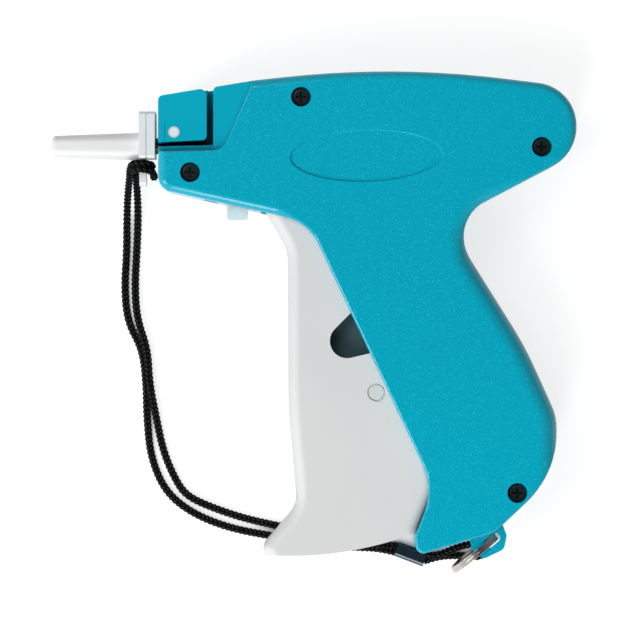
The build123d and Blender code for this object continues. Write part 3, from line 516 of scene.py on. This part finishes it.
def sprung_wire(name, spring):
    """A torsion spring's wire: a coil about Z that runs on straight at both ends.

    At angle a the coil's line is at radius (cos a, sin a) from the axis and climbs evenly by the
    pitch in each turn. The wire's ring lies across the line, level on its side vector.
    """
    turns = spring["turns"]
    turned = np.linspace(0.0, 2 * np.pi * turns, int(COIL_RINGS * turns))
    angle = np.radians(spring["start"]) + turned
    coil = spring["centre"] + np.column_stack([
        spring["radius"] * np.cos(angle), spring["radius"] * np.sin(angle),
        spring["pitch"] * turned / (2 * np.pi)])
    leave = unit(coil[0] - coil[1])
    arrive = unit(coil[-1] - coil[-2])
    first = np.linspace(spring["first_leg"], 0.0, FIRST_LEG_RINGS)[:-1, None]
    last = np.linspace(0.0, spring["last_leg"], LAST_LEG_RINGS)[1:, None]
    line = np.concatenate([coil[0] + leave * first, coil, coil[-1] + arrive * last])
    angle = np.linspace(0.0, 2 * np.pi, WIRE_ROUND, endpoint=False)
    return grid_piece(name, tube_grid(line, UPWARD, angle, spring["wire"]))


# ------------------------------------------------------------------ finishes
def glitter_plastic(look):
    """Turquoise plastic with fine bright flakes under a clear skin."""
    finish = Finish("glitter_turquoise")
    cloud = finish.noise(SHELL_CLOUDS)
    bright = finish.cells(SHELL_FLAKES).above(FLAKE_LIMIT)
    soft = finish.cells(SHELL_GRAINS)
    body = finish.tint(cloud.within(0.3, 0.7), look.shell_low[:], look.shell_high[:])
    grainy = finish.tint(soft * GRAIN_TINT, body, look.shell_grain[:])
    return finish.surface(
        base_color=finish.tint(bright * FLAKE_TINT, grainy, look.shell_flake[:]),
        roughness=0.36 - 0.1 * bright + 0.06 * finish.noise(SHELL_WAVES),
        specular_ior_level=0.05,
        coat_weight=0.75,
        coat_ior=1.45,
        coat_roughness=0.1,
    )


def plain_plastic(name, low, high, rough, grain=PLASTIC_GRAIN, relief=0.02 * MM, coat=0.0,
                  shine=0.5):
    """Moulded plastic with a faint cloud of colour and a fine grain."""
    finish = Finish(name)
    cloud = finish.noise(PLASTIC_CLOUDS, detail=3.0)
    fine = finish.noise(grain, detail=3.0)
    return finish.surface(
        base_color=finish.tint(cloud.within(0.3, 0.7), low, high),
        roughness=rough - 0.06 + 0.12 * fine,
        normal=finish.bump(fine, depth=relief, strength=0.4),
        specular_ior_level=shine,
        coat_weight=coat,
        coat_roughness=0.12,
    )


def metal(name, low, high, rough, scratch=(4000.0, 4000.0, 260.0), coat=0.0, relief=0.01 * MM):
    """Drawn or ground metal, streaked by noise with scratch lumps to the metre along each axis."""
    finish = Finish(name)
    stretched = finish.node("ShaderNodeVectorMath", {"operation": "MULTIPLY"}, {
        0: finish.place(), 1: scratch})
    streak = finish.noise(1.0, detail=3.0, point=stretched.outputs[0])
    return finish.surface(
        base_color=finish.tint(streak, low, high),
        metallic=1.0,
        roughness=rough - 0.08 + 0.2 * streak,
        normal=finish.bump(streak, depth=relief, strength=0.3),
        coat_weight=coat,
    )


def screw_black(name, top):
    """Blackened steel whose cross slot, which lies lower than the head's top, is darker by painted
    shade.
    """
    finish = Finish(name)
    height = finish.node("ShaderNodeSeparateXYZ", None, {"Vector": finish.place()})
    # Painted shade: the colour darkens with depth into the cross slot.
    head = Field(finish, height.outputs["Z"]).within(top - SLOT_DEEP, top - SLOT_SHALLOW)
    fine = finish.noise(SCREW_GRAIN)
    return finish.surface(
        base_color=finish.tint(head ** 2.0, SLOT_PAINTED_SHADE, HEAD_BLACK),
        roughness=0.26 + 0.12 * fine,
        specular_ior_level=0.3,
        coat_weight=0.5,
        coat_roughness=0.15,
    )


def round_plastic(name, centre, radius, inner, rim):
    """Plastic of a round piece, whose colour turns from inner to a painted shade on the rim near its
    edge.
    """
    finish = Finish(name)
    apart = finish.node("ShaderNodeVectorMath", {"operation": "DISTANCE"}, {
        0: finish.place(), 1: centre})
    edge = (Field(finish, apart.outputs["Value"]) / radius).within(0.6, 0.95)
    return finish.surface(
        base_color=finish.tint(edge, inner, rim),
        roughness=0.22 + 0.08 * finish.noise(PLASTIC_GRAIN),
        coat_weight=0.5,
    )


def clear_plastic(name, colour):
    """Clear plastic, a little milky in clouds that are 8% lighter."""
    finish = Finish(name)
    cloud = finish.noise(CLEAR_CLOUDS)
    milky = [min(1.0, part * 1.08) for part in colour]
    return finish.surface(
        base_color=finish.tint(cloud, colour, milky),
        roughness=0.16 + 0.1 * cloud,
        transmission_weight=0.45,
        ior=1.46,
    )


def cord_fibre(name):
    """Black polyester braid: dark gaps between stitches, and a painted highlight on their crowns."""
    finish = Finish(name)
    height = Field(finish, finish.node("ShaderNodeAttribute", {
        "attribute_name": "stitch_height"}).outputs["Fac"])
    thread = finish.noise(CORD_THREADS)
    # Painted highlight: the crowns' threads turn grey where the thread noise is high.
    painted_highlight = (height ** 4.0) * thread.within(0.42, 0.62)
    return finish.surface(
        base_color=finish.tint(painted_highlight, CORD_GAP, CORD_PAINTED_HIGHLIGHT),
        roughness=0.6 - 0.2 * painted_highlight,
        normal=finish.bump(thread, depth=0.08 * MM, strength=0.5),
        specular_ior_level=0.06,
    )


def white_floor(look):
    """A plain floor that adds white where the camera, a gloss or a clear piece sees it.

    The white fades where a surface stands close to the floor: a painted shade.
    """
    finish = Finish("white_floor")
    dust = finish.noise(FLOOR_DUST)
    shade = [part * DUST_SHADE for part in look.floor_colour]
    rays = finish.node("ShaderNodeLightPath").outputs
    seen = sum(Field(finish, rays[name]) for name in (
        "Is Camera Ray", "Is Glossy Ray", "Is Transmission Ray")).within(0.0, 1.0)
    # Painted shade: the added white fades where ambient occlusion finds a surface near the floor.
    open_sky = finish.node("ShaderNodeAmbientOcclusion", None, {"Distance": SHADED_WITHIN})
    seen = seen * Field(finish, open_sky.outputs["AO"]).within(*OPEN_SKY)
    return finish.surface(
        base_color=finish.tint(dust, shade, look.floor_colour[:]),
        emission_color=finish.tint(seen, BLACK, [look.floor_white] * 3),
        emission_strength=1.0,
        roughness=0.9,
        specular_ior_level=0.1,
    )


# ------------------------------------------------------------------ settings
class TAGGER_PG_shell(bpy.types.PropertyGroup):
    """Colours of the two shells."""

    shell_low: FloatVectorProperty(
        name="Shell low", description="Darker turquoise of the left shell", subtype="COLOR",
        default=(0.0, 0.36, 0.50), min=0.0, max=1.0)
    shell_high: FloatVectorProperty(
        name="Shell high", description="Lighter turquoise of the left shell", subtype="COLOR",
        default=(0.0, 0.385, 0.54), min=0.0, max=1.0)
    shell_grain: FloatVectorProperty(
        name="Shell grain", description="Turquoise of the soft grain", subtype="COLOR",
        default=(0.0, 0.42, 0.575), min=0.0, max=1.0)
    shell_flake: FloatVectorProperty(
        name="Flake", description="Colour of the bright flakes", subtype="COLOR",
        default=(0.03, 0.70, 0.86), min=0.0, max=1.0)
    nose_low: FloatVectorProperty(
        name="Nose low", description="Darker turquoise of the right shell", subtype="COLOR",
        default=(0.0, 0.385, 0.53), min=0.0, max=1.0)
    nose_high: FloatVectorProperty(
        name="Nose high", description="Lighter turquoise of the right shell", subtype="COLOR",
        default=(0.0, 0.41, 0.565), min=0.0, max=1.0)
    # The ledge's darker turquoise is a painted shade of the low ledge under the slit.
    ledge_shaded_low: FloatVectorProperty(
        name="Ledge low", description="Darker turquoise of the ledge", subtype="COLOR",
        default=(0.0, 0.30, 0.41), min=0.0, max=1.0)
    ledge_shaded_high: FloatVectorProperty(
        name="Ledge high", description="Lighter turquoise of the ledge", subtype="COLOR",
        default=(0.0, 0.33, 0.45), min=0.0, max=1.0)


class TAGGER_PG_cord(bpy.types.PropertyGroup):
    """Size and weave of the cord."""

    cord_diameter: FloatProperty(
        name="Diameter", description="Diameter of the braided cord", unit="LENGTH",
        default=0.0023, min=0.001, max=0.006)
    stitch_length: FloatProperty(
        name="Stitch", description="Length of one stitch of the braid", unit="LENGTH",
        default=0.00135, min=0.0005, max=0.01)
    stitch_slant: FloatProperty(
        name="Slant", description="How many stitches a stitch climbs across its column",
        default=0.75, min=0.0, max=3.0)
    stitch_depth: FloatProperty(
        name="Depth", description="Depth of the gaps as a share of the radius",
        subtype="FACTOR", default=0.26, min=0.0, max=0.5)


class TAGGER_PG_stage(bpy.types.PropertyGroup):
    """Camera, floor and light."""

    camera_place: FloatVectorProperty(
        name="Camera", description="Place of the camera over the floor", subtype="TRANSLATION",
        unit="LENGTH", default=(-0.01827, -0.00348, 1.130))
    lens: FloatProperty(
        name="Lens", description="Focal length in millimetres", default=214.0, min=20.0)
    floor_colour: FloatVectorProperty(
        name="Floor", description="Colour of the floor", subtype="COLOR",
        default=(0.4, 0.4, 0.4), min=0.0, max=1.0)
    floor_white: FloatProperty(
        name="Floor white", description="White that the floor adds where it is seen",
        default=0.76, min=0.0, max=1.0)
    overhead: FloatProperty(
        name="Overhead", description="Even light from straight above", default=0.05, min=0.0)
    horizon: FloatProperty(
        name="Horizon", description="Light added towards the horizon", default=0.55, min=0.0)
    right_dim: FloatProperty(
        name="Right dim", description="Share of the horizon's light that is missing on the right",
        subtype="FACTOR", default=0.6, min=0.0, max=1.0)
    side: FloatProperty(
        name="Side", description="Light added from the left", default=0.4, min=0.0)
    key: FloatProperty(
        name="Key", description="Power of the high lamp", unit="POWER", default=2.4, min=0.0)
    rim: FloatProperty(
        name="Rim", description="Power of each low lamp that lights the rounded edges",
        unit="POWER", default=2.5, min=0.0)


class TAGGER_PG_settings(bpy.types.PropertyGroup):
    """All settings of the tag attacher."""

    shell: PointerProperty(type=TAGGER_PG_shell, name="Shells", description="Shell colours")
    cord: PointerProperty(type=TAGGER_PG_cord, name="Cord", description="Cord weave")
    stage: PointerProperty(type=TAGGER_PG_stage, name="Stage", description="Camera and light")


# ------------------------------------------------------------------ operators
class TAGGER_OT_stage(bpy.types.Operator):
    """Set up the camera, a white floor and soft light"""

    bl_idname = "tagger.stage"
    bl_label = "Stage"

    def aim_camera(self, scene, look):
        """A camera that looks straight down."""
        camera = bpy.data.cameras.new("camera")
        camera.sensor_width = 36.0
        camera.lens = look.lens
        camera.clip_start = 0.01
        holder = bpy.data.objects.new("camera", camera)
        holder.location = look.camera_place
        scene.collection.objects.link(holder)
        scene.camera = holder
        scene.view_settings.view_transform = "Standard"

    def lay_floor(self, scene, look):
        """A square floor at height 0, which isn't part of the object."""
        mesh = bpy.data.meshes.new("floor")
        square = np.array([(-1, -1, 0), (1, -1, 0), (1, 1, 0), (-1, 1, 0)]) * FLOOR_REACH
        mesh.from_pydata(square, [], [(0, 1, 2, 3)])
        ground = bpy.data.objects.new("floor", mesh)
        scene.collection.objects.link(ground)
        mesh.materials.append(white_floor(look))

    def surround(self, scene, look):
        """Light that is dim overhead, bright near the horizon and brightest at the lower left."""
        world = bpy.data.worlds.new("studio")
        finish = Finish("studio", world)
        toward = finish.node("ShaderNodeTexCoord").outputs["Generated"]
        up = finish.dot(toward, UPWARD)
        left = finish.dot(toward, BRIGHT_SIDE).within(0.0, 1.0)
        right = finish.dot(toward, DIM_SIDE).within(0.0, 1.0)
        ring = look.horizon * (1 - up * up) * (1 - look.right_dim * right)
        level = look.overhead + ring + look.side * left
        finish.glow(finish.tint(level.within(0.0, 1.0), BLACK, WHITE))
        scene.world = world

    def lamp(self, scene, name, place, size, power):
        """A lamp that shines from its place towards the origin."""
        light = bpy.data.lights.new(name, "AREA")
        light.shape = "RECTANGLE"
        light.size, light.size_y = size
        light.energy = power
        holder = bpy.data.objects.new(name, light)
        holder.location = place
        holder.rotation_euler = (-Vector(place)).to_track_quat("-Z", "Y").to_euler()
        scene.collection.objects.link(holder)

    def execute(self, context):
        scene = context.scene
        look = scene.tagger.stage
        self.aim_camera(scene, look)
        self.lay_floor(scene, look)
        self.surround(scene, look)
        for name, place, size, power in (
                ("key_lamp", (-0.38, 0.42, 0.95), (0.5, 0.5), look.key),
                ("trigger_rim", (-0.590, -0.275, 0.546), (0.2, 0.5), look.rim),
                ("nose_rim", (-0.146, -0.634, 0.546), (0.2, 0.5), look.rim)):
            self.lamp(scene, name, place, size, power)
        return {"FINISHED"}


class TAGGER_OT_cords(bpy.types.Operator):
    """Lay the braided strands and the loop through the ring"""

    bl_idname = "tagger.cords"
    bl_label = "Cords"

    def execute(self, context):
        look = context.scene.tagger.cord
        fibre = cord_fibre("cord_braid")
        for name, points, lean, node, length, tied in (
                ("strand_outer", STRAND_OUTER, UPWARD, "cord_strand_outer", 0.172, True),
                ("strand_inner", STRAND_INNER, UPWARD, "cord_strand_inner", 0.164, True),
                ("ring_bight", BIGHT, BIGHT_LEAN, "cord_bight", 0.042, False)):
            piece, centre = braid(name, points, lean, look)
            piece.data.materials.append(fibre)
            if tied:
                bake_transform(piece)
            else:
                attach(piece, "shells")
            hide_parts(node)
        return {"FINISHED"}


class TAGGER_OT_hitch(bpy.types.Operator):
    """Tie the cord round the guard's tab"""

    bl_idname = "tagger.hitch"
    bl_label = "Hitch"

    def execute(self, context):
        look = context.scene.tagger.cord
        piece, _ = braid("hitch_turn", HITCH_TURN, HITCH_LEAN, look)
        piece.data.materials.append(bpy.data.materials["cord_braid"])
        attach(piece, "needle_cap")
        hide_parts("cord_hitch")
        return {"FINISHED"}


class TAGGER_OT_shells(bpy.types.Operator):
    """Finish the shells and their screws"""

    bl_idname = "tagger.shells"
    bl_label = "Shells"

    def execute(self, context):
        look = context.scene.tagger.shell
        nose = plain_plastic("nose_turquoise", look.nose_low[:], look.nose_high[:],
                             rough=0.4, coat=0.6, shine=0.05)
        # The ledge's material is the nose's turquoise, darkened by painted shade.
        ledge = plain_plastic("ledge_turquoise_painted_shade", look.ledge_shaded_low[:], look.ledge_shaded_high[:],
                              rough=0.4, coat=0.6, shine=0.05)
        put_on(glitter_plastic(look), "left_shell")
        put_on(nose, "right_shell")
        for name, corners, colour in (("rear_block_top", REAR_BLOCK, nose),
                                      ("ledge_top", LEDGE, ledge)):
            piece = plate(name, corners)
            piece.data.materials.append(colour)
            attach(piece, "shells")
        put_on(screw_black("black_screw_painted_slot_shade", top_of("shell_screws")), "shell_screws")
        return {"FINISHED"}


class TAGGER_OT_trigger(bpy.types.Operator):
    """Finish the trigger, its pins and its spring"""

    bl_idname = "tagger.trigger"
    bl_label = "Trigger"

    def execute(self, context):
        put_on(plain_plastic("trigger_grey", low=(0.67, 0.685, 0.685), high=(0.7, 0.715, 0.715),
                             rough=0.48, grain=1500.0), "trigger")
        put_on(metal("ground_steel", low=(0.5, 0.5, 0.51), high=(0.62, 0.62, 0.63), rough=0.3),
               "trigger_pivot_pin", "lever_pivot_pin", "lever_slider_pin",
               "feed_axle", "push_rod", "cutter_blade")
        put_on(plain_plastic("pin_grey", low=(0.64, 0.66, 0.66), high=(0.7, 0.72, 0.72),
                             rough=0.3, coat=0.3), "trigger_drive_pin")
        wire = sprung_wire("return_spring", TRIGGER_SPRING)
        put_on(metal("spring_wire", low=(0.36, 0.36, 0.38), high=(0.5, 0.5, 0.52), rough=0.26,
                     scratch=(900.0, 900.0, 5000.0)), "return_spring")
        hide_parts("trigger_spring")
        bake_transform(wire)
        return {"FINISHED"}


class TAGGER_OT_mechanism(bpy.types.Operator):
    """Finish the lever, slider, feed and clip release"""

    bl_idname = "tagger.mechanism"
    bl_label = "Mechanism"

    def execute(self, context):
        put_on(plain_plastic("lever_teal_grey", low=(0.05, 0.12, 0.14), high=(0.07, 0.16, 0.18),
                             rough=0.45), "swing_lever")
        put_on(plain_plastic("slider_natural", low=(0.66, 0.66, 0.63), high=(0.72, 0.72, 0.7),
                             rough=0.42), "slider")
        put_on(plain_plastic("feed_natural", low=(0.7, 0.7, 0.67), high=(0.78, 0.78, 0.75),
                             rough=0.42), "feed_wheel", "feed_arm")
        put_on(plain_plastic("bumper_rubber", low=(0.01, 0.01, 0.01), high=(0.025, 0.025, 0.025),
                             rough=0.8, grain=2500.0, relief=0.05 * MM), "slider_bumper")
        put_on(clear_plastic("release_clear", colour=(0.79, 0.9, 0.94)), "release_lever")
        return {"FINISHED"}


class TAGGER_OT_nose(bpy.types.Operator):
    """Finish the needle, its base and lock, and the guard"""

    bl_idname = "tagger.nose"
    bl_label = "Nose"

    def execute(self, context):
        put_on(metal("needle_steel", low=(0.55, 0.55, 0.56), high=(0.7, 0.7, 0.71), rough=0.22,
                     scratch=(260.0, 5000.0, 5000.0)), "needle")
        put_on(plain_plastic("hub_black", low=(0.012, 0.012, 0.012), high=(0.02, 0.02, 0.02),
                             rough=0.35), "needle_hub")
        middle = (*LOCK_PLACE, top_of("needle_lock"))
        # The lock's darker rim is painted shade.
        put_on(round_plastic("lock_white", middle, LOCK_RADIUS, inner=(0.76, 0.83, 0.87),
                             rim=(0.44, 0.56, 0.62)), "needle_lock")
        put_on(plain_plastic("guard_grey", low=(0.765, 0.775, 0.775), high=(0.8, 0.81, 0.81),
                             rough=0.38, coat=0.15), "needle_cap")
        return {"FINISHED"}


class TAGGER_OT_ring(bpy.types.Operator):
    """Finish the split ring and the crimped sleeve"""

    bl_idname = "tagger.ring"
    bl_label = "Ring and sleeve"

    def execute(self, context):
        put_on(metal("ring_nickel", low=(0.5, 0.46, 0.43), high=(0.62, 0.58, 0.55), rough=0.12,
                     scratch=(160.0, 160.0, 160.0), relief=0.0), "lanyard_ring")
        put_on(metal("sleeve_blue", low=(0.035, 0.05, 0.07), high=(0.06, 0.08, 0.11), rough=0.3,
                     scratch=(500.0, 1500.0, 1500.0), coat=0.4), "cord_ferrule")
        return {"FINISHED"}


STEPS = (TAGGER_OT_stage, TAGGER_OT_cords, TAGGER_OT_hitch, TAGGER_OT_shells,
         TAGGER_OT_trigger, TAGGER_OT_mechanism, TAGGER_OT_nose, TAGGER_OT_ring)


class TAGGER_PT_panel(bpy.types.Panel):
    """Lists the pieces and their settings"""

    bl_idname = "TAGGER_PT_panel"
    bl_label = "Tag Attacher"
    bl_space_type = "VIEW_3D"
    bl_region_type = "UI"
    bl_category = "Tag Attacher"

    def draw(self, context):
        settings = context.scene.tagger
        for step in STEPS:
            self.layout.operator(step.bl_idname)
        for group in (settings.shell, settings.cord, settings.stage):
            box = self.layout.box()
            for name in group.bl_rna.properties.keys():
                if name not in ("rna_type", "name"):
                    box.prop(group, name)


CLASSES = (TAGGER_PG_shell, TAGGER_PG_cord, TAGGER_PG_stage, TAGGER_PG_settings,
           *STEPS, TAGGER_PT_panel)


def register():
    for each in CLASSES:
        bpy.utils.register_class(each)
    bpy.types.Scene.tagger = PointerProperty(type=TAGGER_PG_settings)


def unregister():
    del bpy.types.Scene.tagger
    for each in reversed(CLASSES):
        bpy.utils.unregister_class(each)


def main():
    """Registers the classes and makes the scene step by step."""
    register()
    for step in STEPS:
        family, name = step.bl_idname.split(".")
        getattr(getattr(bpy.ops, family), name)()


if __name__ == "__main__":
    main()
